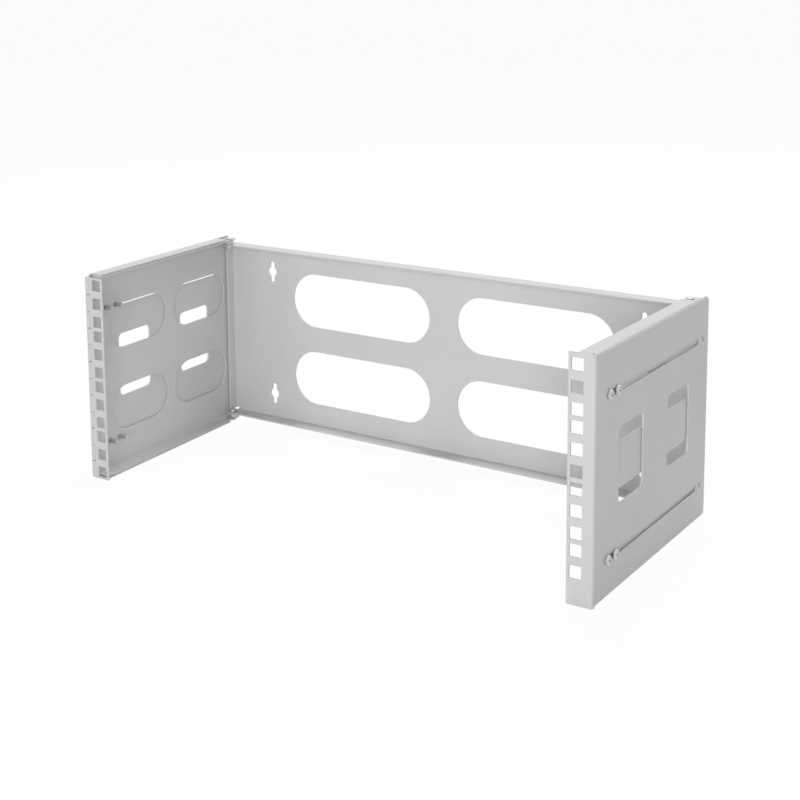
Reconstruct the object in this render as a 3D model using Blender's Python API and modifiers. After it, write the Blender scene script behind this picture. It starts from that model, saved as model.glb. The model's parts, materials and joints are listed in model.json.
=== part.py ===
"""Wall mount open frame rack: a folded wall plate, two telescopic swing arms and a hinged rail.

Metres, +Z up. The origin is the middle of the wall plate's rear face: the wall is the plane Y = 0,
the room lies towards -Y, and X runs along the wall to the right as seen from the room.
"""

import math

import bmesh
import bpy
from mathutils import Matrix, Vector

# Sheet, folds and running gaps
SHEET = 0.0015
BEND_OUTER = 0.0026
PLAY = 0.0003
WALL_GAP = 0.0005

# Rack rails: three holes in each unit of height
RACK_UNITS = 4
UNIT_HEIGHT = 0.04445
FIRST_HOLE = 0.00635
HOLES_PER_UNIT = 3
HOLE_SIZE = 0.0095
HOLE_COLUMNS_APART = 0.4651
HOLE_TO_OUTSIDE = 0.01365
RAIL_PAST_HOLES = 0.0022
FIXED_RAIL_BLANKS = 1

# Whole frame, with both arms pushed in
ARM_PAST_RAIL = 0.0021
FRAME_DEPTH = 0.2066
LEFT_ARM_SWING = math.radians(3.5)

# Arm pivots
PIVOT_INSET = 0.0107
PIVOT_FORWARD = 0.0135
PIVOT_RADIUS = 0.002
PIVOT_HEAD_RADIUS = 0.0034
PIVOT_HEAD_HEIGHT = 0.0014
PIVOT_TAIL_RADIUS = 0.0033
PIVOT_TAIL_HEIGHT = 0.0027
WASHER_RADIUS = 0.0045
WASHER_THICKNESS = 0.0025

# Outer plates of the arms
OUTER_FLANGE = 0.0138
OUTER_FLANGE_SETBACK = 0.022
OUTER_CORNER = 0.0045
CORNER_RELIEF = 0.0012
SLOT_WIDTH = 0.005
SLOT_REAR = 0.0175
SLOT_PAST_SCREW = 0.0032
SLOT_FROM_BOTTOM = 0.0286
SLOT_FROM_TOP = 0.0330
WINDOW_REAR = 0.0378
WINDOW_FROM_FRONT = 0.0403
WINDOW_WEB = 0.0445
WINDOW_FROM_BOTTOM = 0.06395
WINDOW_FROM_TOP = 0.06155
WINDOW_CORNER = 0.0048
LATCH_HOLE_RADIUS = 0.0022
LATCH_HOLE_DEPTH = 0.0103

# Inner panels of the arms
PANEL_PAST_PIVOT = 0.0035
PANEL_REAR = 0.0038
PANEL_FRONT_GAP = 0.0008
PANEL_CORNER = 0.006
PANEL_OBROUND_REAR = 0.013
PANEL_OBROUND_PAST_SCREW = 0.0088
PANEL_OBROUND_INSIDE_SCREW = 0.0005
PANEL_OBROUND_HEIGHT = 0.040
PANEL_WEB_WIDTH = 0.011

# Clamp screws
SCREW_RADIUS = 0.0019
SCREW_REACH = 0.0112
SCREW_HEAD_RADIUS = 0.0038
SCREW_HEAD_HEIGHT = 0.0023
SCREW_HEAD_EDGE = 0.0006
SCREW_FROM_FRONT = 0.0226
SCREW_PITCH = 0.0128

# Wall plate
PLATE_FLANGE = 0.016
PLATE_END_FLANGE = 0.0115
PLATE_END_GAP = 0.0019
EAR_PAST_PIVOT = 0.0045
EAR_OUTER_CORNER = 0.004
EAR_INNER_CORNER = 0.0015
PLATE_WEB_WIDTH = 0.029
PLATE_WEB_HEIGHT = 0.024
PLATE_OBROUND_FROM_END = 0.0743
PLATE_OBROUND_FROM_EDGE = 0.0216
KEYHOLE_FROM_END = 0.049
KEYHOLE_FROM_EDGE = 0.0243
KEYHOLE_RADIUS = 0.0048
KEYHOLE_SLOT_WIDTH = 0.0046
KEYHOLE_HEIGHT = 0.0200

# Hinge between the left arm and its rail
HINGE_PIN_RADIUS = 0.00085
HINGE_PIN_PLAY = 0.00025
HINGE_SEGMENTS = 12
HINGE_SEGMENT_GAP = 0.0004
HINGE_CLEARANCE = 0.0006
HINGE_CURL = math.radians(285)

# Roundness of what is drawn or turned
ARC_SAG = 0.00003
TURNED_STEPS = 16
SHARP_EDGE = math.radians(25)

# Sizes that follow from those above
QUARTER = math.pi / 2
OVERCUT = SHEET
BEND_INNER = BEND_OUTER - SHEET
HALF_WIDTH = HOLE_COLUMNS_APART / 2 + HOLE_TO_OUTSIDE
HOLE_PITCH = (UNIT_HEIGHT - 2 * FIRST_HOLE) / (HOLES_PER_UNIT - 1)
RAIL_WIDTH = HOLE_TO_OUTSIDE + HOLE_SIZE / 2 + RAIL_PAST_HOLES
RAIL_HEIGHT = RACK_UNITS * UNIT_HEIGHT
RAIL_TOP = RAIL_HEIGHT / 2
ARM_TOP = RAIL_TOP + ARM_PAST_RAIL
ARM_HEIGHT = 2 * ARM_TOP
PANEL_TOP = ARM_TOP - SHEET - PLAY
PLATE_TOP = PANEL_TOP - SHEET - PLAY - WASHER_THICKNESS - PLAY
PANEL_INSET = SHEET + PLAY
PANEL_FLANGE = PIVOT_INSET + PANEL_PAST_PIVOT
PLATE_HALF_WIDTH = HALF_WIDTH - PANEL_INSET - SHEET - PLATE_END_GAP
SCREW_DEPTHS = (FRAME_DEPTH - SCREW_FROM_FRONT - SCREW_PITCH, FRAME_DEPTH - SCREW_FROM_FRONT)
SLOT_FRONT = SCREW_DEPTHS[1] + SLOT_PAST_SCREW
SLOT_RISES = (SLOT_FROM_BOTTOM - ARM_TOP, ARM_TOP - SLOT_FROM_TOP)
PIVOT_X = HALF_WIDTH - PIVOT_INSET
PIVOT_Y = -PIVOT_FORWARD
HINGE_BORE = HINGE_PIN_RADIUS + HINGE_PIN_PLAY
HINGE_BARREL = HINGE_BORE + SHEET
HINGE_X = HALF_WIDTH - HINGE_BARREL
HINGE_Y = HINGE_BARREL - FRAME_DEPTH
HINGED_FRONT = FRAME_DEPTH - 2 * HINGE_BARREL - HINGE_CLEARANCE
FIXED_FRONT = FRAME_DEPTH - SHEET - PLAY
LEFT, RIGHT = -1, 1


def new_collection(name):
    collection = bpy.data.collections.new(name)
    bpy.context.scene.collection.children.link(collection)
    return collection


def new_finish(name, grey, roughness, metallic):
    finish = bpy.data.materials.new(name)
    finish.use_nodes = True
    shader = finish.node_tree.nodes["Principled BSDF"]
    shader.inputs["Base Color"].default_value = (grey, grey, grey, 1.0)
    shader.inputs["Roughness"].default_value = roughness
    shader.inputs["Metallic"].default_value = metallic
    return finish


for old in list(bpy.data.objects):
    bpy.data.objects.remove(old, do_unlink=True)

PARTS = new_collection("wall_mount_open_frame_rack")
CUTTERS = new_collection("cutters")


def arc(centre, radius, start, end):
    """Points along an arc, both ends included, with chords that leave it by no more than the sag."""
    step = 2 * math.acos(1 - ARC_SAG / radius)
    count = max(2, math.ceil(abs(end - start) / step))
    angles = [start + (end - start) * index / count for index in range(count + 1)]
    return [(centre[0] + radius * math.cos(a), centre[1] + radius * math.sin(a)) for a in angles]


def box_outline(low, high):
    return [(low[0], low[1]), (high[0], low[1]), (high[0], high[1]), (low[0], high[1])]


def rounded_box_outline(centre, size, radius):
    across = size[0] / 2 - radius
    up = size[1] / 2 - radius
    points = []
    for index, (to_x, to_y) in enumerate(((-1, -1), (1, -1), (1, 1), (-1, 1))):
        middle = (centre[0] + to_x * across, centre[1] + to_y * up)
        start = math.pi + index * QUARTER
        points += arc(middle, radius, start, start + QUARTER)
    return points


def halves(start, end, web):
    """Two equal stretches between a start and an end, with a web of sheet left between them."""
    length = (end - start - web) / 2
    return (start, start + length), (end - length, end)


def obround_outline(across, up):
    """A slot with round ends, as tall as one stretch and as long as the other."""
    radius = (up[1] - up[0]) / 2
    rise = (up[0] + up[1]) / 2
    near = arc((across[1] - radius, rise), radius, -QUARTER, QUARTER)
    far = arc((across[0] + radius, rise), radius, QUARTER, 3 * QUARTER)
    return near + far


def keyhole_outline(centre):
    """A round hole with a narrow slot above and below it, for the heads of wall screws."""
    half = KEYHOLE_SLOT_WIDTH / 2
    mouth = math.asin(half / KEYHOLE_RADIUS)
    reach = KEYHOLE_HEIGHT / 2 - half
    points = arc(centre, KEYHOLE_RADIUS, mouth - QUARTER, QUARTER - mouth)
    points += arc((centre[0], centre[1] + reach), half, 0, math.pi)
    points += arc(centre, KEYHOLE_RADIUS, QUARTER + mouth, 3 * QUARTER - mouth)
    return points + arc((centre[0], centre[1] - reach), half, math.pi, math.tau)


def corner_angles(inward):
    """Angles at which an arc that rounds a corner meets its first and its second edge."""
    first = 0.0 if inward[0] < 0 else math.pi
    second = -inward[1] * QUARTER
    if first > 0 and second < 0:
        second += math.tau
    return first, second


def corner_waste(corner, inward, radius):
    """What is cut away to round a corner of a flat sheet."""
    centre = (corner[0] + inward[0] * radius, corner[1] + inward[1] * radius)
    beyond = (corner[0] - inward[0] * OVERCUT, corner[1] - inward[1] * OVERCUT)
    rounded = arc(centre, radius, *corner_angles(inward))
    return rounded + [(centre[0], beyond[1]), beyond, (beyond[0], centre[1])]


def angle_outline(corner, reach_x, reach_y):
    """Section of a sheet folded once, from its outer corner and its two signed legs."""
    inward = (math.copysign(1, reach_x), math.copysign(1, reach_y))
    centre = (corner[0] + inward[0] * BEND_OUTER, corner[1] + inward[1] * BEND_OUTER)
    first, second = corner_angles(inward)
    points = [(corner[0], corner[1] + reach_y)]
    points += arc(centre, BEND_OUTER, first, second)
    points += [(corner[0] + reach_x, corner[1])]
    points += [(corner[0] + reach_x, corner[1] + inward[1] * SHEET)]
    points += arc(centre, BEND_INNER, second, first)
    return points + [(corner[0] + inward[0] * SHEET, corner[1] + reach_y)]


def channel_outline(back, free, top):
    """Section of a sheet folded twice: its web lies at back, its flanges end at free."""
    inward = math.copysign(1, free - back)
    fold = back + inward * BEND_OUTER
    upper = (fold, top - BEND_OUTER)
    lower = (fold, BEND_OUTER - top)
    low_first, low_second = corner_angles((inward, 1))
    top_first, top_second = corner_angles((inward, -1))
    points = [(free, -top), *arc(lower, BEND_OUTER, low_second, low_first)]
    points += [*arc(upper, BEND_OUTER, top_first, top_second), (free, top)]
    points += [(free, top - SHEET), *arc(upper, BEND_INNER, top_second, top_first)]
    return points + [*arc(lower, BEND_INNER, low_first, low_second), (free, SHEET - top)]


def curled_outline(centre, start, turn, run):
    """Section of a hinge leaf: a straight run that meets a curl about the pin at an angle."""
    towards = math.copysign(1, turn)
    along = (math.sin(start) * towards * run, -math.cos(start) * towards * run)
    outer = arc(centre, HINGE_BARREL, start, start + turn)
    inner = arc(centre, HINGE_BORE, start + turn, start)
    outer_end = (outer[0][0] + along[0], outer[0][1] + along[1])
    inner_end = (inner[-1][0] + along[0], inner[-1][1] + along[1])
    return [outer_end, *outer, *inner, inner_end]


PLANES = {
    "XY": Matrix(((1, 0, 0), (0, 1, 0), (0, 0, 1))),
    "XZ": Matrix(((1, 0, 0), (0, 0, -1), (0, 1, 0))),
    "YZ": Matrix(((0, 0, 1), (1, 0, 0), (0, 1, 0))),
}


def extruded(name, outlines, plane, span):
    """A solid drawn as flat outlines in a plane, over a span of the third coordinate."""
    curve = bpy.data.curves.new(name, "CURVE")
    curve.dimensions = "2D"
    curve.fill_mode = "BOTH"
    curve.extrude = abs(span[1] - span[0]) / 2
    for outline in outlines:
        spline = curve.splines.new("POLY")
        spline.points.add(len(outline) - 1)
        for point, place in zip(spline.points, outline):
            point.co = (place[0], place[1], 0.0, 1.0)
        spline.use_cyclic_u = True
    drawn = bpy.data.objects.new(name + "_drawn", curve)
    PARTS.objects.link(drawn)
    turn = PLANES[plane].to_4x4()
    normal = turn.to_3x3() @ Vector((0, 0, 1))
    middle = Vector([abs(value) for value in normal]) * sum(span) / 2
    drawn.matrix_world = Matrix.Translation(middle) @ turn
    bpy.context.view_layer.update()
    evaluated = drawn.evaluated_get(bpy.context.evaluated_depsgraph_get())
    mesh = bpy.data.meshes.new_from_object(evaluated)
    mesh.transform(drawn.matrix_world)
    mesh.name = name
    bpy.data.objects.remove(drawn, do_unlink=True)
    welded = bmesh.new()
    welded.from_mesh(mesh)
    bmesh.ops.remove_doubles(welded, verts=welded.verts, dist=1e-6)
    bmesh.ops.recalc_face_normals(welded, faces=welded.faces)
    welded.to_mesh(mesh)
    welded.free()
    solid = bpy.data.objects.new(name, mesh)
    PARTS.objects.link(solid)
    return solid


def block(name, low, high):
    """A box between two corners, given in any order."""
    mesh = bpy.data.meshes.new(name)
    shaped = bmesh.new()
    size = [abs(b - a) for a, b in zip(low, high)]
    middle = [(a + b) / 2 for a, b in zip(low, high)]
    place = Matrix.Translation(middle) @ Matrix.Diagonal((*size, 1.0))
    bmesh.ops.create_cube(shaped, size=1.0, matrix=place)
    shaped.to_mesh(mesh)
    shaped.free()
    solid = bpy.data.objects.new(name, mesh)
    PARTS.objects.link(solid)
    return solid


def rod(name, centre, axis, radius, length):
    """A plain cylinder, as a pin or as a drill."""
    mesh = bpy.data.meshes.new(name)
    shaped = bmesh.new()
    turn = Vector(axis).to_track_quat("Z", "Y").to_matrix().to_4x4()
    place = Matrix.Translation(centre) @ turn
    shape = {"segments": TURNED_STEPS, "radius1": radius, "radius2": radius, "depth": length}
    bmesh.ops.create_cone(shaped, cap_ends=True, matrix=place, **shape)
    shaped.to_mesh(mesh)
    shaped.free()
    solid = bpy.data.objects.new(name, mesh)
    PARTS.objects.link(solid)
    return solid


def pivot_drill(name, side):
    """Drill for the pivot holes at the top and the bottom of one arm."""
    return rod(name, (side * PIVOT_X, PIVOT_Y, 0), (0, 0, 1), PIVOT_RADIUS + PLAY, ARM_HEIGHT)


def turned(name, profile, place, turn):
    """A turned piece: its profile gives radius and height, from the top down its outer side."""
    mesh = bpy.data.meshes.new(name)
    edges = [(index, index + 1) for index in range(len(profile) - 1)]
    mesh.from_pydata([(radius, 0.0, height) for radius, height in profile], edges, [])
    solid = bpy.data.objects.new(name, mesh)
    PARTS.objects.link(solid)
    solid.location = place
    solid.rotation_euler = turn
    spin = solid.modifiers.new("turned", "SCREW")
    spin.axis = "Z"
    spin.steps = TURNED_STEPS
    spin.render_steps = TURNED_STEPS
    spin.use_merge_vertices = True
    spin.merge_threshold = 0.00001
    return solid


def combine(part, other, operation):
    """Cut another solid from a part, or join it to the part."""
    PARTS.objects.unlink(other)
    CUTTERS.objects.link(other)
    other.hide_render = True
    other.display_type = "WIRE"
    modifier = part.modifiers.new(other.name, "BOOLEAN")
    modifier.operation = operation
    modifier.solver = "EXACT"
    modifier.object = other


def cut(part, other):
    combine(part, other, "DIFFERENCE")


def join(part, other):
    combine(part, other, "UNION")


def finished(part, finish, origin):
    """Give a part its finish, smooth shading between its folds, and its origin."""
    part.data.materials.append(finish)
    part.data.shade_smooth()
    part.data.set_sharp_from_angle(angle=SHARP_EDGE)
    shift = Vector(origin) - part.location
    part.data.transform(Matrix.Translation(-shift))
    part.location = origin
    return part


def hinge_empty(name, place, parent):
    empty = bpy.data.objects.new(name, None)
    empty.empty_display_size = WASHER_RADIUS * 4
    PARTS.objects.link(empty)
    empty.location = place
    bpy.context.view_layer.update()
    if parent:
        carry(parent, [empty])
    return empty


def carry(parent, children):
    """Parent objects where they stand, each with the solids that cut or complete it."""
    bpy.context.view_layer.update()
    followers = list(children)
    for child in children:
        followers += [step.object for step in child.modifiers if step.type == "BOOLEAN"]
    for follower in followers:
        follower.parent = parent
        follower.matrix_parent_inverse = parent.matrix_world.inverted()


def arm_x(side, inset):
    """X of a plane that lies inside the outer face of one arm."""
    return side * (HALF_WIDTH - inset)


def rail_hole_outlines(side, count):
    """Square holes in X and Z, counted from the top of a rail."""
    half = HOLE_SIZE / 2
    x = side * HOLE_COLUMNS_APART / 2
    outlines = []
    for index in range(count):
        unit, place = divmod(index, HOLES_PER_UNIT)
        z = RAIL_TOP - unit * UNIT_HEIGHT - FIRST_HOLE - place * HOLE_PITCH
        outlines.append(box_outline((x - half, z - half), (x + half, z + half)))
    return outlines


def cut_rail_holes(part, side, count):
    outlines = rail_hole_outlines(side, count)
    span = (-FRAME_DEPTH - OVERCUT, SHEET + PLAY - FRAME_DEPTH)
    cut(part, extruded(part.name + "_holes", outlines, "XZ", span))


def outer_channel(name, side, front):
    """Web and two flanges of an outer plate, with its slots, windows and latch holes."""
    section = channel_outline(arm_x(side, 0), arm_x(side, OUTER_FLANGE), ARM_TOP)
    plate = extruded(name, [section], "XZ", (-front, -WALL_GAP))
    inside = (arm_x(side, SHEET), -OUTER_FLANGE_SETBACK, -ARM_HEIGHT)
    past = (arm_x(side, OUTER_FLANGE + OVERCUT), OVERCUT, ARM_HEIGHT)
    cut(plate, block(name + "_flange_ends", inside, past))
    through = (arm_x(side, -OVERCUT), arm_x(side, SHEET + OVERCUT))
    rear = -WALL_GAP
    corners = [corner_waste((rear, up * ARM_TOP), (-1, -up), OUTER_CORNER) for up in (1, -1)]
    cut(plate, extruded(name + "_corners", corners, "YZ", through))
    openings = []
    for rise in SLOT_RISES:
        up = (rise - SLOT_WIDTH / 2, rise + SLOT_WIDTH / 2)
        openings.append(obround_outline((-SLOT_FRONT, -SLOT_REAR), up))
        openings.append(arc((-LATCH_HOLE_DEPTH, rise), LATCH_HOLE_RADIUS, 0, math.tau)[:-1])
    rise = (WINDOW_FROM_BOTTOM - WINDOW_FROM_TOP) / 2
    height = ARM_HEIGHT - WINDOW_FROM_BOTTOM - WINDOW_FROM_TOP
    for near, far in halves(WINDOW_REAR, FRAME_DEPTH - WINDOW_FROM_FRONT, WINDOW_WEB):
        middle = (-(near + far) / 2, rise)
        openings.append(rounded_box_outline(middle, (far - near, height), WINDOW_CORNER))
    cut(plate, extruded(name + "_openings", openings, "YZ", through))
    return plate


def right_outer_plate(finish):
    """Outer plate whose front edge is folded in to make the fixed rail."""
    fold = BEND_OUTER + CORNER_RELIEF
    plate = outer_channel("right_outer_plate", RIGHT, FRAME_DEPTH - fold)
    corner = (arm_x(RIGHT, 0), -FRAME_DEPTH)
    rail = angle_outline(corner, -RAIL_WIDTH, fold)
    join(plate, extruded("right_rail_face", [rail], "XY", (-ARM_TOP, ARM_TOP)))
    low = (arm_x(RIGHT, SHEET), -FRAME_DEPTH + BEND_OUTER, BEND_OUTER - ARM_TOP)
    high = (arm_x(RIGHT, 0), -FRAME_DEPTH + 2 * fold, ARM_TOP - BEND_OUTER)
    join(plate, block("right_web_front", low, high))
    for up in (1, -1):
        near = (arm_x(RIGHT, OUTER_FLANGE), -FIXED_FRONT, up * ARM_TOP)
        far = (arm_x(RIGHT, fold), -FRAME_DEPTH + 2 * fold, up * (ARM_TOP - SHEET))
        join(plate, block("right_flange_front", near, far))
    cut_rail_holes(plate, RIGHT, RACK_UNITS * HOLES_PER_UNIT - FIXED_RAIL_BLANKS)
    return finished(plate, finish, (PIVOT_X, PIVOT_Y, 0))


def knuckle_spans(first):
    """Heights of every second knuckle of the hinge, from the top."""
    step = RAIL_HEIGHT / HINGE_SEGMENTS
    spans = []
    for index in range(first, HINGE_SEGMENTS, 2):
        top = RAIL_TOP - index * step
        spans.append((top - step + HINGE_SEGMENT_GAP / 2, top - HINGE_SEGMENT_GAP / 2))
    return spans


def left_outer_plate(finish):
    """Outer plate whose front edge carries every second knuckle of the rail's hinge."""
    plate = outer_channel("left_outer_plate", LEFT, HINGED_FRONT)
    run = 2 * (HINGE_BARREL + HINGE_CLEARANCE)
    leaf = curled_outline((-HINGE_X, HINGE_Y), math.pi, HINGE_CURL, run)
    for span in knuckle_spans(0):
        join(plate, extruded("left_arm_knuckle", [leaf], "XY", span))
    return finished(plate, finish, (-PIVOT_X, PIVOT_Y, 0))


def left_rail(finish):
    """Hinged rail: a flat strip with the other knuckles along its outer edge."""
    free = HALF_WIDTH - RAIL_WIDTH
    edge = HINGE_X - HINGE_BARREL - HINGE_CLEARANCE
    low = (-edge, -FRAME_DEPTH, -RAIL_TOP)
    high = (-free, SHEET - FRAME_DEPTH, RAIL_TOP)
    rail = block("left_rail", low, high)
    run = HINGE_BARREL + HINGE_CLEARANCE + SHEET
    leaf = curled_outline((-HINGE_X, HINGE_Y), -QUARTER, -HINGE_CURL, run)
    for span in knuckle_spans(1):
        join(rail, extruded("left_rail_knuckle", [leaf], "XY", span))
    cut_rail_holes(rail, LEFT, RACK_UNITS * HOLES_PER_UNIT)
    return finished(rail, finish, (-HINGE_X, HINGE_Y, 0))


def rail_hinge_pin(finish):
    centre = (-HINGE_X, HINGE_Y, 0)
    pin = rod("rail_hinge_pin", centre, (0, 0, 1), HINGE_PIN_RADIUS, RAIL_HEIGHT)
    return finished(pin, finish, centre)


def inner_panel(name, side, front, finish):
    """Channel nested in an outer plate: it turns on the wall plate and the outer plate slides on it."""
    section = channel_outline(arm_x(side, PANEL_INSET), arm_x(side, PANEL_FLANGE), PANEL_TOP)
    panel = extruded(name, [section], "XZ", (PANEL_FRONT_GAP - front, -PANEL_REAR))
    height = (-ARM_TOP, ARM_TOP)
    free = arm_x(side, PANEL_FLANGE)
    corners = []
    for end, forward in ((-PANEL_REAR, -1), (PANEL_FRONT_GAP - front, 1)):
        corners.append(corner_waste((free, end), (side, forward), PANEL_CORNER))
    cut(panel, extruded(name + "_corners", corners, "XY", height))
    cut(panel, pivot_drill(name + "_pivot", side))
    openings = []
    edge = min(abs(rise) for rise in SLOT_RISES) - PANEL_OBROUND_INSIDE_SCREW
    inner = edge - PANEL_OBROUND_HEIGHT
    ends = (PANEL_OBROUND_REAR, SCREW_DEPTHS[0] + PANEL_OBROUND_PAST_SCREW)
    for near, far in halves(*ends, PANEL_WEB_WIDTH):
        for up in ((-edge, -inner), (inner, edge)):
            openings.append(obround_outline((-far, -near), up))
    for depth in SCREW_DEPTHS:
        for rise in SLOT_RISES:
            openings.append(arc((-depth, rise), SCREW_RADIUS + PLAY, 0, math.tau)[:-1])
    through = (arm_x(side, 0), arm_x(side, PANEL_INSET + SHEET + OVERCUT))
    cut(panel, extruded(name + "_openings", openings, "YZ", through))
    return finished(panel, finish, (side * PIVOT_X, PIVOT_Y, 0))


def wall_plate(finish):
    """Tray folded from one sheet: flanges all round, ears for the pivots, four large openings."""
    fold = BEND_OUTER + CORNER_RELIEF
    section = channel_outline(0.0, -PLATE_FLANGE, PLATE_TOP)
    ends = PLATE_HALF_WIDTH - fold
    plate = extruded("wall_plate", [section], "YZ", (-ends, ends))
    flat = (BEND_OUTER - PLATE_TOP, PLATE_TOP - BEND_OUTER)
    inner = PIVOT_X - EAR_PAST_PIVOT
    front = PIVOT_Y - EAR_PAST_PIVOT
    for side in (LEFT, RIGHT):
        corner = (side * PLATE_HALF_WIDTH, 0)
        end = angle_outline(corner, -side * 2 * fold, -PLATE_END_FLANGE)
        join(plate, extruded("end_flange", [end], "XY", flat))
        for up in (1, -1):
            near = (side * inner, front, up * PLATE_TOP)
            far = (side * PLATE_HALF_WIDTH, -fold, up * (PLATE_TOP - SHEET))
            join(plate, block("pivot_ear", near, far))
    height = (-ARM_TOP, ARM_TOP)
    corners = []
    for side in (LEFT, RIGHT):
        outer = (side * PLATE_HALF_WIDTH, front)
        corners.append(corner_waste(outer, (-side, 1), EAR_OUTER_CORNER))
        corners.append(corner_waste((side * inner, front), (side, 1), EAR_INNER_CORNER))
    cut(plate, extruded("ear_corners", corners, "XY", height))
    for side in (LEFT, RIGHT):
        cut(plate, pivot_drill("pivot_hole", side))
    openings = []
    end = PLATE_HALF_WIDTH - PLATE_OBROUND_FROM_END
    edge = PLATE_TOP - PLATE_OBROUND_FROM_EDGE
    for across in halves(-end, end, PLATE_WEB_WIDTH):
        for up in halves(-edge, edge, PLATE_WEB_HEIGHT):
            openings.append(obround_outline(across, up))
    for side in (LEFT, RIGHT):
        for up in (1, -1):
            place = (PLATE_HALF_WIDTH - KEYHOLE_FROM_END, PLATE_TOP - KEYHOLE_FROM_EDGE)
            openings.append(keyhole_outline((side * place[0], up * place[1])))
    cut(plate, extruded("wall_plate_openings", openings, "XZ", (-SHEET - OVERCUT, OVERCUT)))
    return finished(plate, finish, (0, 0, 0))


def pivot_rivet(name, side, up, finish):
    """Rivet through a flange of the inner panel, a spacer washer and an ear of the wall plate."""
    head = PANEL_TOP + PLAY
    tail = PLATE_TOP - SHEET - PLAY
    chamfer = PIVOT_HEAD_HEIGHT / 3
    profile = [
        (0, head + PIVOT_HEAD_HEIGHT),
        (PIVOT_HEAD_RADIUS - chamfer, head + PIVOT_HEAD_HEIGHT),
        (PIVOT_HEAD_RADIUS, head + PIVOT_HEAD_HEIGHT - chamfer),
        (PIVOT_HEAD_RADIUS, head),
        (PIVOT_RADIUS, head),
        (PIVOT_RADIUS, tail),
        (PIVOT_TAIL_RADIUS, tail),
        (PIVOT_TAIL_RADIUS, tail - PIVOT_TAIL_HEIGHT + chamfer),
        (PIVOT_TAIL_RADIUS - chamfer, tail - PIVOT_TAIL_HEIGHT),
        (0, tail - PIVOT_TAIL_HEIGHT),
    ]
    turn = (0, 0, 0) if up > 0 else (math.pi, 0, 0)
    rivet = turned(name, profile, (side * PIVOT_X, PIVOT_Y, 0), turn)
    rivet.data.materials.append(finish)
    rivet.data.shade_smooth()
    return rivet


def pivot_washer(name, side, up, finish):
    """Spacer washer between an ear of the wall plate and the flange that turns on it."""
    base = PLATE_TOP + PLAY
    middle = (side * PIVOT_X, PIVOT_Y, up * (base + WASHER_THICKNESS / 2))
    washer = rod(name, middle, (0, 0, 1), WASHER_RADIUS, WASHER_THICKNESS)
    cut(washer, rod(name + "_bore", middle, (0, 0, 1), PIVOT_RADIUS + PLAY, 2 * WASHER_THICKNESS))
    return finished(washer, finish, middle)


def clamp_screw(name, side, depth, rise, finish):
    """Pan head screw that clamps the outer plate to a tapped hole in the inner panel."""
    top = PLAY + SCREW_HEAD_HEIGHT
    profile = [
        (0, top),
        (SCREW_HEAD_RADIUS - 2 * SCREW_HEAD_EDGE, top),
        (SCREW_HEAD_RADIUS - SCREW_HEAD_EDGE / 2, top - SCREW_HEAD_EDGE),
        (SCREW_HEAD_RADIUS, top - 2 * SCREW_HEAD_EDGE),
        (SCREW_HEAD_RADIUS, PLAY),
        (SCREW_RADIUS, PLAY),
        (SCREW_RADIUS, SCREW_HEAD_EDGE - SCREW_REACH),
        (SCREW_RADIUS - SCREW_HEAD_EDGE, -SCREW_REACH),
        (0, -SCREW_REACH),
    ]
    place = (arm_x(side, 0), -depth, rise)
    screw = turned(name, profile, place, (0, side * QUARTER, 0))
    screw.data.materials.append(finish)
    screw.data.shade_smooth()
    return screw


def arm_screws(prefix, side, finish):
    screws = []
    for end, depth in zip(("rear", "front"), SCREW_DEPTHS):
        for level, rise in zip(("lower", "upper"), SLOT_RISES):
            name = f"{prefix}_clamp_screw_{level}_{end}"
            screws.append(clamp_screw(name, side, depth, rise, finish))
    return screws


def build():
    paint = new_finish("grey_powder_coat", 0.60, 0.45, 0.0)
    zinc = new_finish("zinc_plated_steel", 0.55, 0.35, 0.9)
    wall_plate(paint)
    for side, name in ((LEFT, "left"), (RIGHT, "right")):
        for up, level in ((-1, "lower"), (1, "upper")):
            pivot_rivet(f"{name}_pivot_rivet_{level}", side, up, zinc)
            pivot_washer(f"{name}_pivot_washer_{level}", side, up, zinc)

    right_pivot = hinge_empty("right_arm_pivot", (PIVOT_X, PIVOT_Y, 0), None)
    right_pieces = [right_outer_plate(paint)]
    right_pieces += [inner_panel("right_inner_panel", RIGHT, FIXED_FRONT, paint)]
    carry(right_pivot, right_pieces + arm_screws("right", RIGHT, zinc))

    left_pivot = hinge_empty("left_arm_pivot", (-PIVOT_X, PIVOT_Y, 0), None)
    left_pieces = [left_outer_plate(paint), rail_hinge_pin(zinc)]
    left_pieces += [inner_panel("left_inner_panel", LEFT, HINGED_FRONT, paint)]
    carry(left_pivot, left_pieces + arm_screws("left", LEFT, zinc))
    rail_pivot = hinge_empty("left_rail_pivot", (-HINGE_X, HINGE_Y, 0), left_pivot)
    carry(rail_pivot, [left_rail(paint)])

    # The left arm stands swung in a little, with its rail turned back in line with the wall plate
    left_pivot.rotation_euler.z = LEFT_ARM_SWING
    rail_pivot.rotation_euler.z = -LEFT_ARM_SWING
    bpy.context.view_layer.update()


build()
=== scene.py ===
# %% [markdown]
# # A wall mount open frame rack
#
# The real object is folded from 1.5 mm sheet steel and coated in light grey powder paint: a shallow
# wall plate, two arms that swing on rivets, and a column of square holes down the front of each arm.
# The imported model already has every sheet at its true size. This script gives the sheets their
# rounded cut edges and their paint, makes the small steel fasteners in full, and lights the object
# as it stands in the photograph.

import json
import math

import bmesh
import bpy
from mathutils import Matrix, Vector
from mathutils.bvhtree import BVHTree

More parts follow.
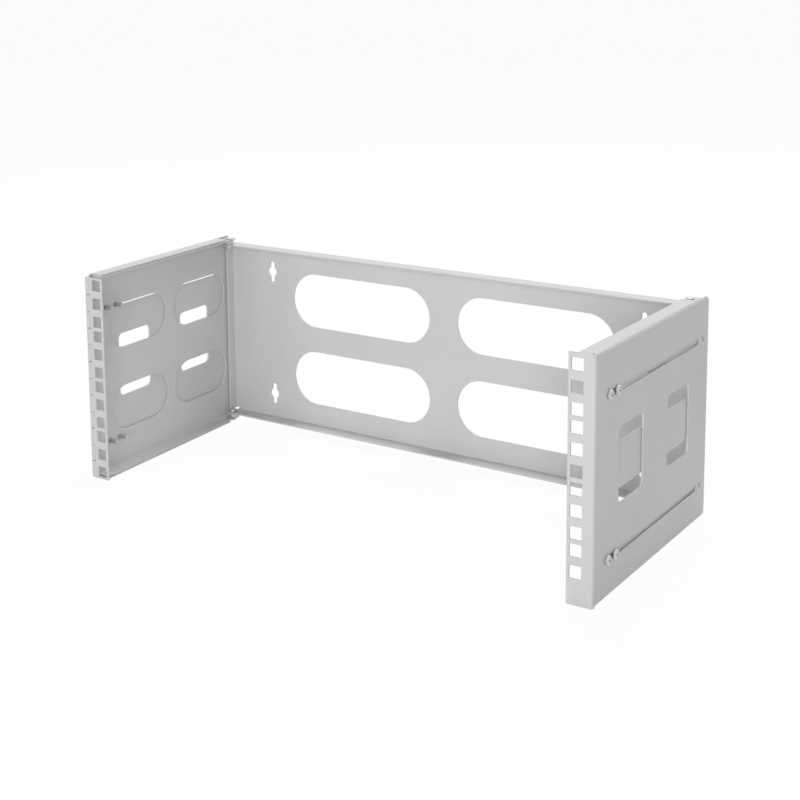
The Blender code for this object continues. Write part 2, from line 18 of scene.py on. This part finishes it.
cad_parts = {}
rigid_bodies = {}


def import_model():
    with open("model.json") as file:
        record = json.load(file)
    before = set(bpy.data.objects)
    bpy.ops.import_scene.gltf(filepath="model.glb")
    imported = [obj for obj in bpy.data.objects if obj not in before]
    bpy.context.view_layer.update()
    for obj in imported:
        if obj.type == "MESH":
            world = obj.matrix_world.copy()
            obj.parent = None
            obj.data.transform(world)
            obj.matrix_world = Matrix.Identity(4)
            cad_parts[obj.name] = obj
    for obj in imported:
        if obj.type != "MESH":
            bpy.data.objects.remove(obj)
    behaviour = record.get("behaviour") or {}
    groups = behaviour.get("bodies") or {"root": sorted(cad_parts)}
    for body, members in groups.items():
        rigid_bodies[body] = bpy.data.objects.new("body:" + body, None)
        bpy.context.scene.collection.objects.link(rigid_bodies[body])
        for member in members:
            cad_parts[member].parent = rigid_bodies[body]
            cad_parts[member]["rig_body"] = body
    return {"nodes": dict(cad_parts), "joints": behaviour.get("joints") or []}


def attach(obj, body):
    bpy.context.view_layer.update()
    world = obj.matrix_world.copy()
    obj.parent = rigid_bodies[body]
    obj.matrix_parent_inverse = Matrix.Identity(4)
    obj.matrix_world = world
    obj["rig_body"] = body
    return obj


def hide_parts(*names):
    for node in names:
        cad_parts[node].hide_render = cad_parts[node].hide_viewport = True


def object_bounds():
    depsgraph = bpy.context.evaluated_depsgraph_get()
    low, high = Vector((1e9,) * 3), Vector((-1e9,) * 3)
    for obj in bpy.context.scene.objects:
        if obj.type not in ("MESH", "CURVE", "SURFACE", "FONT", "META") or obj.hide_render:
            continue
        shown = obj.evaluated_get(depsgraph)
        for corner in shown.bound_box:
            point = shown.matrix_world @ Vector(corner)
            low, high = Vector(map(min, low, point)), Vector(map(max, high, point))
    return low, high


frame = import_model()
CAD_LOW, CAD_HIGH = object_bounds()
MM = 0.001
QUARTER_TURN = math.pi / 2
UPWARD = Vector((0, 0, 1))


def in_mm(length):
    """A length in millimetres, short enough to print."""
    return round(length / MM, 2)


print("sheets and fasteners:", len(frame["nodes"]))
print("size of the packed model:", [in_mm(side) for side in CAD_HIGH - CAD_LOW], "mm")

# %% [markdown]
# ## Camera
#
# The camera could be aimed by eye, but a product photograph keeps its uprights nearly parallel,
# which a camera tilted straight at the object can't do. Here the camera looks only a little down
# from the front right, and the picture is shifted down for the rest. Its place, turn and lens come
# from the square holes and the long oblong openings, whose true sizes are known.

# %% Camera
CAMERA_PLACE = (0.6538, -1.0680, 0.3556)
CAMERA_YAW = math.radians(33.24)
CAMERA_PITCH = math.radians(8.53)
CAMERA_ROLL = math.radians(-0.35)
CAMERA_LENS = 64.95
CAMERA_SHIFT_Y = -0.28
CAMERA_REACH = 200
AXES = 3

bpy.ops.object.camera_add(location=CAMERA_PLACE)
camera = bpy.context.object
camera.name = "camera"
facing = Matrix.Rotation(CAMERA_YAW, AXES, "Z")
tilt = Matrix.Rotation(QUARTER_TURN - CAMERA_PITCH, AXES, "X")
level = Matrix.Rotation(CAMERA_ROLL, AXES, "Z")
camera.rotation_euler = (facing @ tilt @ level).to_euler()
camera.data.lens = CAMERA_LENS
camera.data.shift_y = CAMERA_SHIFT_Y
camera.data.clip_end = CAMERA_REACH
bpy.context.scene.camera = camera
object_middle = (CAD_LOW + CAD_HIGH) / 2
print("camera to object:", in_mm((camera.location - object_middle).length), "mm")

# %% [markdown]
# ## Room and light
#
# The photograph has a white surround and no hard shadow. Brighter lamps would bleach the paint, so
# the lamps stay soft and plain, and the surround is white only to the camera and in reflections:
# Light Path tells those rays apart. The floor mixes that white with a matt surface, which still
# takes the shadow of the object.

# %% White surround
AMBIENT = 0.28
WHITE = (1, 1, 1, 1)
FULL_STRENGTH = 1


def seen_directly(nodes, links):
    """One where a ray comes from the camera, a reflection or a clear material, and zero elsewhere."""
    path = nodes.new("ShaderNodeLightPath")
    either = nodes.new("ShaderNodeMath")
    either.operation = "MAXIMUM"
    links.new(path.outputs["Is Camera Ray"], either.inputs[0])
    links.new(path.outputs["Is Glossy Ray"], either.inputs[1])
    every = nodes.new("ShaderNodeMath")
    every.operation = "MAXIMUM"
    links.new(either.outputs[0], every.inputs[0])
    links.new(path.outputs["Is Transmission Ray"], every.inputs[1])
    return every.outputs[0]


world = bpy.data.worlds.new("studio")
bpy.context.scene.world = world
world.use_nodes = True
nodes = world.node_tree.nodes
links = world.node_tree.links
lit = nodes["Background"]
lit.inputs["Color"].default_value = WHITE
lit.inputs["Strength"].default_value = AMBIENT
shown = nodes.new("ShaderNodeBackground")
shown.inputs["Color"].default_value = WHITE
shown.inputs["Strength"].default_value = FULL_STRENGTH
choice = nodes.new("ShaderNodeMixShader")
links.new(seen_directly(nodes, links), choice.inputs["Fac"])
links.new(lit.outputs[0], choice.inputs[1])
links.new(shown.outputs[0], choice.inputs[2])
links.new(choice.outputs[0], nodes["World Output"].inputs["Surface"])
print("surround gives the object", AMBIENT, "of its white")

# %% Floor
FLOOR_SPAN = 60
FLOOR_GREY = 0.82
FLOOR_ROUGHNESS = 0.9
FLOOR_WHITE_SHARE = 0.95

bpy.ops.mesh.primitive_plane_add(size=FLOOR_SPAN, location=(0, 0, CAD_LOW.z))
floor = bpy.context.object
floor.name = "floor"
paper = bpy.data.materials.new("floor_paper")
paper.use_nodes = True
nodes = paper.node_tree.nodes
links = paper.node_tree.links
matt = nodes["Principled BSDF"]
matt.inputs["Base Color"].default_value = (FLOOR_GREY, FLOOR_GREY, FLOOR_GREY, 1)
matt.inputs["Roughness"].default_value = FLOOR_ROUGHNESS
white = nodes.new("ShaderNodeEmission")
white.inputs["Color"].default_value = WHITE
white.inputs["Strength"].default_value = FULL_STRENGTH
share = nodes.new("ShaderNodeMath")
share.operation = "MULTIPLY"
share.inputs[1].default_value = FLOOR_WHITE_SHARE
links.new(seen_directly(nodes, links), share.inputs[0])
surface = nodes.new("ShaderNodeMixShader")
links.new(share.outputs[0], surface.inputs["Fac"])
links.new(matt.outputs[0], surface.inputs[1])
links.new(white.outputs[0], surface.inputs[2])
links.new(surface.outputs[0], nodes["Material Output"].inputs["Surface"])
floor.data.materials.append(paper)
print("floor at", in_mm(CAD_LOW.z), "mm")

# %% [markdown]
# ## Lamps
#
# Three wide square lamps stand in for a studio's soft boxes. The key lamp at the front right gives
# the arms their shading, the one above and behind lights the top edges, and a weak one in front
# fills the wall plate. The key lamp stays out of reflections: seen from behind, its mirror image in
# the arms' top edges would bleach them.

# %% Lamps
KEY_PLACE = (1.35, -2.65, 0.55)
KEY_SIZE = 1.2
KEY_POWER = 37
ABOVE_PLACE = (-0.2, 1.1, 2.2)
ABOVE_SIZE = 1.8
ABOVE_POWER = 51
FRONT_PLACE = (-0.4, -2.8, 0.75)
FRONT_SIZE = 1.6
FRONT_POWER = 14
BETWEEN_ARMS = (0, -0.1, 0)
WALL_PLATE_MIDDLE = (0, 0, 0)


def soft_lamp(name, place, target, size, power):
    """A square lamp that faces a point."""
    bpy.ops.object.light_add(type="AREA", location=place)
    lamp = bpy.context.object
    lamp.name = name
    lamp.data.shape = "SQUARE"
    lamp.data.size = size
    lamp.data.energy = power
    aim = Vector(target) - Vector(place)
    lamp.rotation_euler = aim.to_track_quat("-Z", "Y").to_euler()
    return lamp


key = soft_lamp("lamp_key", KEY_PLACE, BETWEEN_ARMS, KEY_SIZE, KEY_POWER)
key.visible_glossy = False
soft_lamp("lamp_above", ABOVE_PLACE, BETWEEN_ARMS, ABOVE_SIZE, ABOVE_POWER)
soft_lamp("lamp_front", FRONT_PLACE, WALL_PLATE_MIDDLE, FRONT_SIZE, FRONT_POWER)
print("three soft lamps")

# %% [markdown]
# ## Powder coat
#
# Powder paint is melted on in an oven. It keeps a fine ripple, called orange peel, about a
# millimetre from crest to crest, and its gloss changes a little with its thickness. A picture of
# paint would stretch over the folds, so the ripple and the gloss are made from noise in the
# object's own space, in real millimetres.

# %% Helpers for finishes
NOISE_LOW = 0.3
NOISE_HIGH = 0.7


def new_finish(name):
    """A new material, with its nodes, its links, its place socket and its shader."""
    finish = bpy.data.materials.new(name)
    finish.use_nodes = True
    nodes = finish.node_tree.nodes
    place = nodes.new("ShaderNodeTexCoord")
    return finish, nodes, finish.node_tree.links, place.outputs["Object"], nodes["Principled BSDF"]


def noise(nodes, links, place, scale, detail):
    """Noise with so many waves to a metre."""
    pattern = nodes.new("ShaderNodeTexNoise")
    pattern.inputs["Scale"].default_value = scale
    pattern.inputs["Detail"].default_value = detail
    links.new(place, pattern.inputs["Vector"])
    return pattern.outputs["Fac"]


def spread(nodes, links, value, low, high):
    """Spread the middle of a noise over a range of values."""
    ranged = nodes.new("ShaderNodeMapRange")
    ranged.inputs["From Min"].default_value = NOISE_LOW
    ranged.inputs["From Max"].default_value = NOISE_HIGH
    ranged.inputs["To Min"].default_value = low
    ranged.inputs["To Max"].default_value = high
    links.new(value, ranged.inputs["Value"])
    return ranged.outputs["Result"]


def grey_ramp(nodes, links, value, dark, light):
    """Turn the middle of a noise into greys between a dark and a light one."""
    ramp = nodes.new("ShaderNodeValToRGB")
    ramp.color_ramp.elements[0].position = NOISE_LOW
    ramp.color_ramp.elements[0].color = (dark, dark, dark, 1)
    ramp.color_ramp.elements[1].position = NOISE_HIGH
    ramp.color_ramp.elements[1].color = (light, light, light, 1)
    links.new(value, ramp.inputs["Fac"])
    return ramp.outputs["Color"]


def bumped(nodes, links, height, distance, below=None):
    """A bump of a given height, on top of another bump where there is one."""
    bump = nodes.new("ShaderNodeBump")
    bump.inputs["Distance"].default_value = distance
    links.new(height, bump.inputs["Height"])
    if below:
        links.new(below, bump.inputs["Normal"])
    return bump.outputs["Normal"]


print("noise is used from", NOISE_LOW, "to", NOISE_HIGH)

# %% Grey powder coat
CLOUDS_PER_METRE = 18
CLOUD_DETAIL = 3
PEEL_PER_METRE = 900
PEEL_DETAIL = 2
PEEL_HEIGHT = 0.03 * MM
GRAIN_PER_METRE = 4000
GRAIN_DETAIL = 1
GRAIN_HEIGHT = 0.006 * MM
GLOSS_PER_METRE = PEEL_PER_METRE / 4
GLOSS_DETAIL = 2
COAT_DARK = 0.575
COAT_LIGHT = 0.605
COAT_SMOOTHEST = 0.42
COAT_ROUGHEST = 0.52
COAT_SPECULAR = 0.35

powder_coat, nodes, links, place, shader = new_finish("grey_powder_coat")
clouds = noise(nodes, links, place, CLOUDS_PER_METRE, CLOUD_DETAIL)
links.new(grey_ramp(nodes, links, clouds, COAT_DARK, COAT_LIGHT), shader.inputs["Base Color"])
gloss = noise(nodes, links, place, GLOSS_PER_METRE, GLOSS_DETAIL)
links.new(spread(nodes, links, gloss, COAT_SMOOTHEST, COAT_ROUGHEST), shader.inputs["Roughness"])
grain = noise(nodes, links, place, GRAIN_PER_METRE, GRAIN_DETAIL)
peel = noise(nodes, links, place, PEEL_PER_METRE, PEEL_DETAIL)
rippled = bumped(nodes, links, grain, GRAIN_HEIGHT)
links.new(bumped(nodes, links, peel, PEEL_HEIGHT, rippled), shader.inputs["Normal"])
shader.inputs["Specular IOR Level"].default_value = COAT_SPECULAR
print("ripple every", in_mm(1 / PEEL_PER_METRE), "mm")

# %% [markdown]
# ## Zinc
#
# The screws, rivets, washers and the hinge pin are plain steel with a thin zinc plating. Most of
# its colour is reflection, and a dulled plating keeps a little grey of its own, so the finish is
# mostly metal. What makes it look real is uneven roughness and the faint pitting that plating
# leaves.

# %% Zinc plating
TARNISH_PER_METRE = 700
TARNISH_DETAIL = 3
POLISH_PER_METRE = 2500
POLISH_DETAIL = 2
PITS_PER_METRE = 6000
PIT_DETAIL = 1
PIT_DEPTH = 0.008 * MM
ZINC_DARK = 0.50
ZINC_LIGHT = 0.64
ZINC_SMOOTHEST = 0.24
ZINC_ROUGHEST = 0.42
ZINC_METAL_SHARE = 0.7

zinc, nodes, links, place, shader = new_finish("zinc_plating")
tarnish = noise(nodes, links, place, TARNISH_PER_METRE, TARNISH_DETAIL)
links.new(grey_ramp(nodes, links, tarnish, ZINC_DARK, ZINC_LIGHT), shader.inputs["Base Color"])
polish = noise(nodes, links, place, POLISH_PER_METRE, POLISH_DETAIL)
links.new(spread(nodes, links, polish, ZINC_SMOOTHEST, ZINC_ROUGHEST), shader.inputs["Roughness"])
pits = noise(nodes, links, place, PITS_PER_METRE, PIT_DETAIL)
links.new(bumped(nodes, links, pits, PIT_DEPTH), shader.inputs["Normal"])
shader.inputs["Metallic"].default_value = ZINC_METAL_SHARE
print("finishes:", powder_coat.name, zinc.name)

# %% [markdown]
# ## Working in edit mode
#
# Operators act on whatever is selected, so each step first deselects everything and then picks
# faces by the way they are turned, or edges by where they are. A few small helpers do that.

# %% Selecting by place
SAME_PLACE = 0.02 * MM
LEVEL_FACE = 0.9


def alone(piece):
    """Make one piece the only selected and the active one."""
    bpy.ops.object.select_all(action="DESELECT")
    piece.select_set(True)
    bpy.context.view_layer.objects.active = piece


def looks_down(normal):
    """True for a face that looks straight down."""
    return normal.z < -LEVEL_FACE


def looks_up_or_down(normal):
    """True for both ends of an upright cylinder."""
    return abs(normal.z) > LEVEL_FACE


def pick_faces(piece, wanted):
    """Select the faces whose normal passes a test."""
    bpy.ops.mesh.select_mode(type="FACE")
    bpy.ops.mesh.select_all(action="DESELECT")
    shape = bmesh.from_edit_mesh(piece.data)
    for face in shape.faces:
        face.select_set(wanted(face.normal))
    bmesh.update_edit_mesh(piece.data)


def pick_ring(piece, radius, height):
    """Select the edges that run round the Z axis at a radius and a height."""
    bpy.ops.mesh.select_mode(type="EDGE")
    bpy.ops.mesh.select_all(action="DESELECT")
    shape = bmesh.from_edit_mesh(piece.data)
    for edge in shape.edges:
        ends = [vertex.co for vertex in edge.verts]
        at_height = all(abs(end.z - height) < SAME_PLACE for end in ends)
        at_radius = all(abs(math.hypot(end.x, end.y) - radius) < SAME_PLACE for end in ends)
        edge.select_set(at_height and at_radius)
    bmesh.update_edit_mesh(piece.data)


print("places count as the same within", in_mm(SAME_PLACE), "mm")


# %% Finishing a piece
def apply_modifiers(piece):
    """Make the modifiers of a piece part of its mesh, in their order."""
    alone(piece)
    for name in [modifier.name for modifier in piece.modifiers]:
        bpy.ops.object.modifier_apply(modifier=name)


def smooth(piece, angle):
    """Shade a piece smooth, except at edges that turn by more than an angle in degrees."""
    alone(piece)
    bpy.ops.object.shade_smooth_by_angle(angle=math.radians(angle))


def ride_and_replace(piece, node):
    """Hang a finished piece on the body of the CAD node that it stands for."""
    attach(piece, frame["nodes"][node]["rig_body"])
    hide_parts(node)


# %% [markdown]
# ## Coated sheets
#
# Sheet steel is punched and then folded, and the paint runs round every cut edge, so none of them
# is sharp: each carries a thin highlight. The sheets could be modelled again from planes, but the
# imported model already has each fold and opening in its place. So each sheet is a welded copy of its
# CAD node. Its flat triangles are joined, and then a narrow bevel rounds the cut edges. Where three
# folds meet, a bevel can throw a corner past the sheet, so such corners are brought back to the
# sheet's own surface.

# %% Rounding the cut edges
COAT_RADIUS = 0.22 * MM
COAT_STEPS = 2
FOLD_STEP = 35
WELD_DISTANCE = 0.001 * MM
FLAT_WITHIN = math.radians(0.3)


def bring_back(sheet, node):
    """Put the corners that the bevel threw past a fold back on the surface of the CAD node."""
    surface = BVHTree.FromObject(frame["nodes"][node], bpy.context.evaluated_depsgraph_get())
    thrown = 0
    for corner in sheet.data.vertices:
        nearest, _, _, distance = surface.find_nearest(corner.co)
        if distance > COAT_RADIUS / 2:
            corner.co = nearest
            thrown += 1
    return thrown


def coated_sheet(node):
    """A welded copy of a CAD sheet with rounded cut edges and the grey coat."""
    sheet = bpy.data.objects.new(node + "_coated", frame["nodes"][node].data.copy())
    bpy.context.scene.collection.objects.link(sheet)
    alone(sheet)
    bpy.ops.object.mode_set(mode="EDIT")
    bpy.ops.mesh.select_all(action="SELECT")
    bpy.ops.mesh.remove_doubles(threshold=WELD_DISTANCE)
    bpy.ops.mesh.dissolve_limited(angle_limit=FLAT_WITHIN)
    bpy.ops.mesh.normals_make_consistent(inside=False)
    bpy.ops.object.mode_set(mode="OBJECT")
    edge = sheet.modifiers.new("rounded cut edges", "BEVEL")
    edge.width = COAT_RADIUS
    edge.segments = COAT_STEPS
    edge.limit_method = "ANGLE"
    edge.angle_limit = math.radians(FOLD_STEP)
    edge.use_clamp_overlap = False
    apply_modifiers(sheet)
    thrown = bring_back(sheet, node)
    smooth(sheet, FOLD_STEP)
    shading = sheet.modifiers.new("flat faces stay flat", "WEIGHTED_NORMAL")
    shading.keep_sharp = True
    apply_modifiers(sheet)
    sheet.data.materials.clear()
    sheet.data.materials.append(powder_coat)
    ride_and_replace(sheet, node)
    print(node, "faces:", len(sheet.data.polygons), "corners brought back:", thrown)


print("cut edges get a radius of", in_mm(COAT_RADIUS), "mm")

# %% [markdown]
# ## Wall plate
#
# The wall plate is a shallow tray: one sheet with its rim folded towards the room, four oblong
# openings and four keyholes for the wall screws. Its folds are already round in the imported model,
# so only its cut edges are rounded here.

# %% Wall plate
coated_sheet("wall_plate")

# %% [markdown]
# ## Arms
#
# Each arm is two channels, one nested in the other. The inner one turns on the wall plate, and the
# outer one slides on it. The right outer channel is folded in at its front to make the fixed rail,
# and the left one carries half the knuckles of a long hinge. Inner and outer channels stay separate
# pieces, because each one moves with its own body.

# %% Arm sheets
ARM_SHEETS = ("left_inner_panel", "left_outer_plate", "right_inner_panel", "right_outer_plate")
for arm_sheet in ARM_SHEETS:
    coated_sheet(arm_sheet)

# %% [markdown]
# ## Hinged rail
#
# The left rail is a narrow strip with twelve square holes, and the other half of the hinge's
# knuckles is rolled from its outer edge. It is finished as the larger sheets are, so that the
# knuckles of both halves look alike.

# %% Hinged rail
coated_sheet("left_rail")

# %% [markdown]
# ## Fasteners
#
# Every fastener is modelled once, standing on the origin with its axis up, and then copied to its
# place. A copy's place goes into its mesh, so its object stays at the origin. Where each one
# belongs is read from its CAD node: the middle of a turned node's points lies on its axis.

# %% Reading a fastener's place
def ends_along(node, direction):
    """The two points where a turned CAD node starts and stops along its axis."""
    points = [vertex.co for vertex in frame["nodes"][node].data.vertices]
    middle = sum(points, Vector()) / len(points)
    steps = [(point - middle).dot(direction) for point in points]
    return middle + direction * min(steps), middle + direction * max(steps)


def placed_copy(model, node, direction):
    """Copy a fastener to where its CAD node starts, along the node's axis."""
    start, _ = ends_along(node, direction)
    alone(model)
    bpy.ops.object.duplicate()
    copy = bpy.context.object
    copy.name = node + "_plated"
    copy.rotation_euler = direction.to_track_quat("Z", "Y").to_euler()
    copy.location = start
    bpy.ops.object.transform_apply(location=True, rotation=True, scale=True)
    ride_and_replace(copy, node)


def remove_model(model):
    """Take away a model once its copies are placed, or a cutter once it has cut."""
    bpy.data.objects.remove(model, do_unlink=True)


SLIDE_AXES = {joint["name"]: Vector(joint["axis"]) for joint in frame["joints"]}
LEFT_OUTWARD = SLIDE_AXES["left_arm_extend"].cross(UPWARD)
RIGHT_OUTWARD = -SLIDE_AXES["right_arm_extend"].cross(UPWARD)
print("left screws point along", [round(part, 3) for part in LEFT_OUTWARD])
print("right screws point along", [round(part, 3) for part in RIGHT_OUTWARD])


# %% Helpers for turned pieces
def round_bar(name, sides, radius, length, middle):
    """A cylinder round the Z axis with its middle at a height, left in edit mode."""
    place = (0, 0, middle)
    bpy.ops.mesh.primitive_cylinder_add(vertices=sides, radius=radius, depth=length, location=place)
    bar = bpy.context.object
    bar.name = name
    bpy.ops.object.transform_apply(location=True)
    bpy.ops.object.mode_set(mode="EDIT")
    return bar


def extrude_up(height):
    """Extrude the selected faces along the axis, down where the height is negative."""
    bpy.ops.mesh.extrude_region_move(TRANSFORM_OT_translate={"value": (0, 0, height)})


def widen(factor):
    """Scale what is selected across the axis."""
    bpy.ops.transform.resize(value=(factor, factor, 1))


def round_off(piece, radius, height, rounding, steps):
    """Round the ring of edges at a radius and a height."""
    pick_ring(piece, radius, height)
    bpy.ops.mesh.bevel(offset=rounding, segments=steps, affect="EDGES")


TURNED_SMOOTHING = 40
print("turned pieces are smooth up to", TURNED_SMOOTHING, "degrees")

# %% [markdown]
# ## Clamp screws
#
# Four pan head screws hold each outer channel where it has been slid to. A pan head is a disc with
# a well rounded rim, so it starts as a cylinder whose upper edge is bevelled in several steps. Its
# cross recess is cut by two tapered blades, and the thread is one ridge that climbs the shank.

# %% Pan head and shank
SCREW_SIDES = 48
SCREW_LENGTH = 13.8 * MM
HEAD_HEIGHT = 2.3 * MM
HEAD_RADIUS = 3.8 * MM
CORE_RADIUS = 1.55 * MM
NECK_RADIUS = 1.85 * MM
NECK_LENGTH = 1.0 * MM
TIP_ROUNDING = 0.5 * MM
CROWN_ROUNDING = 1.5 * MM
RIM_ROUNDING = 0.15 * MM
shoulder = SCREW_LENGTH - HEAD_HEIGHT
head_middle = SCREW_LENGTH - HEAD_HEIGHT / 2

screw = round_bar("clamp_screw", SCREW_SIDES, HEAD_RADIUS, HEAD_HEIGHT, head_middle)
pick_faces(screw, looks_down)
bpy.ops.mesh.inset(thickness=HEAD_RADIUS - NECK_RADIUS)
extrude_up(-NECK_LENGTH)
bpy.ops.mesh.inset(thickness=NECK_RADIUS - CORE_RADIUS)
extrude_up(NECK_LENGTH - shoulder)
round_off(screw, CORE_RADIUS, 0, TIP_ROUNDING, steps=2)
round_off(screw, HEAD_RADIUS, SCREW_LENGTH, CROWN_ROUNDING, steps=6)
round_off(screw, HEAD_RADIUS, shoulder, RIM_ROUNDING, steps=2)
bpy.ops.object.mode_set(mode="OBJECT")
print("screw length:", in_mm(screw.dimensions.z), "mm")

# %% Cross recess
BLADE_SPAN = 6.0 * MM
BLADE_WIDTH = 1.3 * MM
BLADE_TAPER = 0.45
RECESS_DEPTH = 1.5 * MM

crown = (0, 0, SCREW_LENGTH)
for turn in (0, QUARTER_TURN):
    bpy.ops.mesh.primitive_cube_add(size=1, location=crown, rotation=(0, 0, turn))
    blade = bpy.context.object
    blade.scale = (BLADE_SPAN, BLADE_WIDTH, 2 * RECESS_DEPTH)
    bpy.ops.object.transform_apply(location=True, rotation=True, scale=True)
    bpy.ops.object.mode_set(mode="EDIT")
    pick_faces(blade, looks_down)
    widen(BLADE_TAPER)
    bpy.ops.object.mode_set(mode="OBJECT")
    recess = screw.modifiers.new("cross recess", "BOOLEAN")
    recess.operation = "DIFFERENCE"
    recess.solver = "EXACT"
    recess.object = blade
    apply_modifiers(screw)
    remove_model(blade)
print("recess cut, faces:", len(screw.data.polygons))

# %% Thread
THREAD_RADIUS = 1.88 * MM
THREAD_PITCH = 0.7 * MM
THREAD_TURNS = 13
THREAD_START = 1.0 * MM
STEPS_PER_TURN = 24
RIDGE_SIDES = 3
RIDGE_RADIUS = 0.26 * MM
SCREW_SMOOTHING = 35

foot = (THREAD_RADIUS - RIDGE_RADIUS, 0, THREAD_START)
upright = (QUARTER_TURN, 0, 0)
bpy.ops.mesh.primitive_circle_add(
    vertices=RIDGE_SIDES, radius=RIDGE_RADIUS, location=foot, rotation=upright
)
thread = bpy.context.object
thread.name = "thread"
bpy.ops.object.transform_apply(location=True, rotation=True)
bpy.ops.object.mode_set(mode="EDIT")
bpy.ops.mesh.select_all(action="SELECT")
bpy.ops.transform.rotate(value=QUARTER_TURN, orient_axis="Y", center_override=foot)
bpy.ops.object.mode_set(mode="OBJECT")
climb = thread.modifiers.new("climbing ridge", "SCREW")
climb.axis = "Z"
climb.steps = STEPS_PER_TURN
climb.render_steps = STEPS_PER_TURN
climb.screw_offset = THREAD_PITCH
climb.iterations = THREAD_TURNS
apply_modifiers(thread)
bpy.ops.object.mode_set(mode="EDIT")
bpy.ops.mesh.select_all(action="SELECT")
bpy.ops.mesh.fill_holes(sides=RIDGE_SIDES)
bpy.ops.mesh.normals_make_consistent(inside=False)
bpy.ops.object.mode_set(mode="OBJECT")
print("thread turns:", THREAD_TURNS, "faces:", len(thread.data.polygons))

# %% Screw with its thread
thread.select_set(True)
screw.select_set(True)
bpy.context.view_layer.objects.active = screw
bpy.ops.object.join()
smooth(screw, SCREW_SMOOTHING)
screw.data.materials.append(zinc)
print("screw width over its head:", in_mm(max(screw.dimensions.xy)), "mm")

# %% Screws in both arms
for level_name in ("lower", "upper"):
    for end_name in ("rear", "front"):
        screw_name = f"_clamp_screw_{level_name}_{end_name}"
        placed_copy(screw, "left" + screw_name, LEFT_OUTWARD)
        placed_copy(screw, "right" + screw_name, RIGHT_OUTWARD)
remove_model(screw)
print("eight clamp screws")

# %% [markdown]
# ## Pivot rivets and washers
#
# Each arm turns on two rivets. A rivet has a flat head with a soft rim, and its other end is spread
# in the press, which leaves a small dimple. The washer between the sheets is a ring: both ends of a
# cylinder are inset and the two inner faces are bridged to open the bore.

# %% Pivot rivet
RIVET_SIDES = 40
RIVET_HEAD_RADIUS = 3.4 * MM
RIVET_HEAD_HEIGHT = 1.4 * MM
RIVET_HEAD_ROUNDING = 0.5 * MM
RIVET_SHANK_RADIUS = 2.0 * MM
RIVET_SHANK_LENGTH = 6.7 * MM
RIVET_TAIL_RADIUS = 3.3 * MM
RIVET_TAIL_HEIGHT = 2.7 * MM
RIVET_TAIL_ROUNDING = 0.8 * MM
DIMPLE_RIM = 2.2 * MM
DIMPLE_DEPTH = 0.5 * MM
DIMPLE_TAPER = 0.5
rivet_length = RIVET_HEAD_HEIGHT + RIVET_SHANK_LENGTH + RIVET_TAIL_HEIGHT
head_middle = rivet_length - RIVET_HEAD_HEIGHT / 2

rivet = round_bar("pivot_rivet", RIVET_SIDES, RIVET_HEAD_RADIUS, RIVET_HEAD_HEIGHT, head_middle)
pick_faces(rivet, looks_down)
bpy.ops.mesh.inset(thickness=RIVET_HEAD_RADIUS - RIVET_SHANK_RADIUS)
extrude_up(-RIVET_SHANK_LENGTH)
extrude_up(0)
widen(RIVET_TAIL_RADIUS / RIVET_SHANK_RADIUS)
extrude_up(-RIVET_TAIL_HEIGHT)
bpy.ops.mesh.inset(thickness=DIMPLE_RIM)
extrude_up(DIMPLE_DEPTH)
widen(DIMPLE_TAPER)
round_off(rivet, RIVET_TAIL_RADIUS, 0, RIVET_TAIL_ROUNDING, steps=5)
round_off(rivet, RIVET_HEAD_RADIUS, rivet_length, RIVET_HEAD_ROUNDING, steps=4)
bpy.ops.object.mode_set(mode="OBJECT")
smooth(rivet, TURNED_SMOOTHING)
rivet.data.materials.append(zinc)
print("rivet length:", in_mm(rivet.dimensions.z), "mm")

# %% Pivot washer
WASHER_SIDES = 40
WASHER_RADIUS = 4.5 * MM
WASHER_BORE = 2.3 * MM
WASHER_THICKNESS = 2.5 * MM
WASHER_ROUNDING = 0.25 * MM

washer = round_bar(
    "pivot_washer", WASHER_SIDES, WASHER_RADIUS, WASHER_THICKNESS, WASHER_THICKNESS / 2
)
pick_faces(washer, looks_up_or_down)
bpy.ops.mesh.inset(thickness=WASHER_RADIUS - WASHER_BORE)
bpy.ops.mesh.bridge_edge_loops()
for height in (0, WASHER_THICKNESS):
    round_off(washer, WASHER_RADIUS, height, WASHER_ROUNDING, steps=3)
bpy.ops.object.mode_set(mode="OBJECT")
smooth(washer, TURNED_SMOOTHING)
washer.data.materials.append(zinc)
print("washer faces:", len(washer.data.polygons))

# %% Rivets and washers at the four pivots
for side in ("left", "right"):
    placed_copy(rivet, side + "_pivot_rivet_upper", UPWARD)
    placed_copy(rivet, side + "_pivot_rivet_lower", -UPWARD)
    placed_copy(washer, side + "_pivot_washer_upper", UPWARD)
    placed_copy(washer, side + "_pivot_washer_lower", -UPWARD)
remove_model(rivet)
remove_model(washer)
print("four rivets and four washers")

# %% [markdown]
# ## Hinge pin
#
# One long wire runs through all twelve knuckles of the rail's hinge. Only its ends and the slits
# between the knuckles show it, so it stays round, with both ends cropped to a soft edge.

# %% Hinge pin
PIN_SIDES = 24
PIN_RADIUS = 0.85 * MM
PIN_ROUNDING = 0.3 * MM
pin_foot, pin_top = ends_along("rail_hinge_pin", UPWARD)
pin_length = (pin_top - pin_foot).length

pin = round_bar("hinge_pin", PIN_SIDES, PIN_RADIUS, pin_length, pin_length / 2)
for height in (0, pin_length):
    round_off(pin, PIN_RADIUS, height, PIN_ROUNDING, steps=3)
bpy.ops.object.mode_set(mode="OBJECT")
smooth(pin, TURNED_SMOOTHING)
pin.data.materials.append(zinc)
placed_copy(pin, "rail_hinge_pin", UPWARD)
remove_model(pin)
print("pin length:", in_mm(pin_length), "mm")

# %% [markdown]
# ## Picture settings
#
# The Standard view shows each colour as it is written.

# %% View
bpy.context.scene.view_settings.view_transform = "Standard"
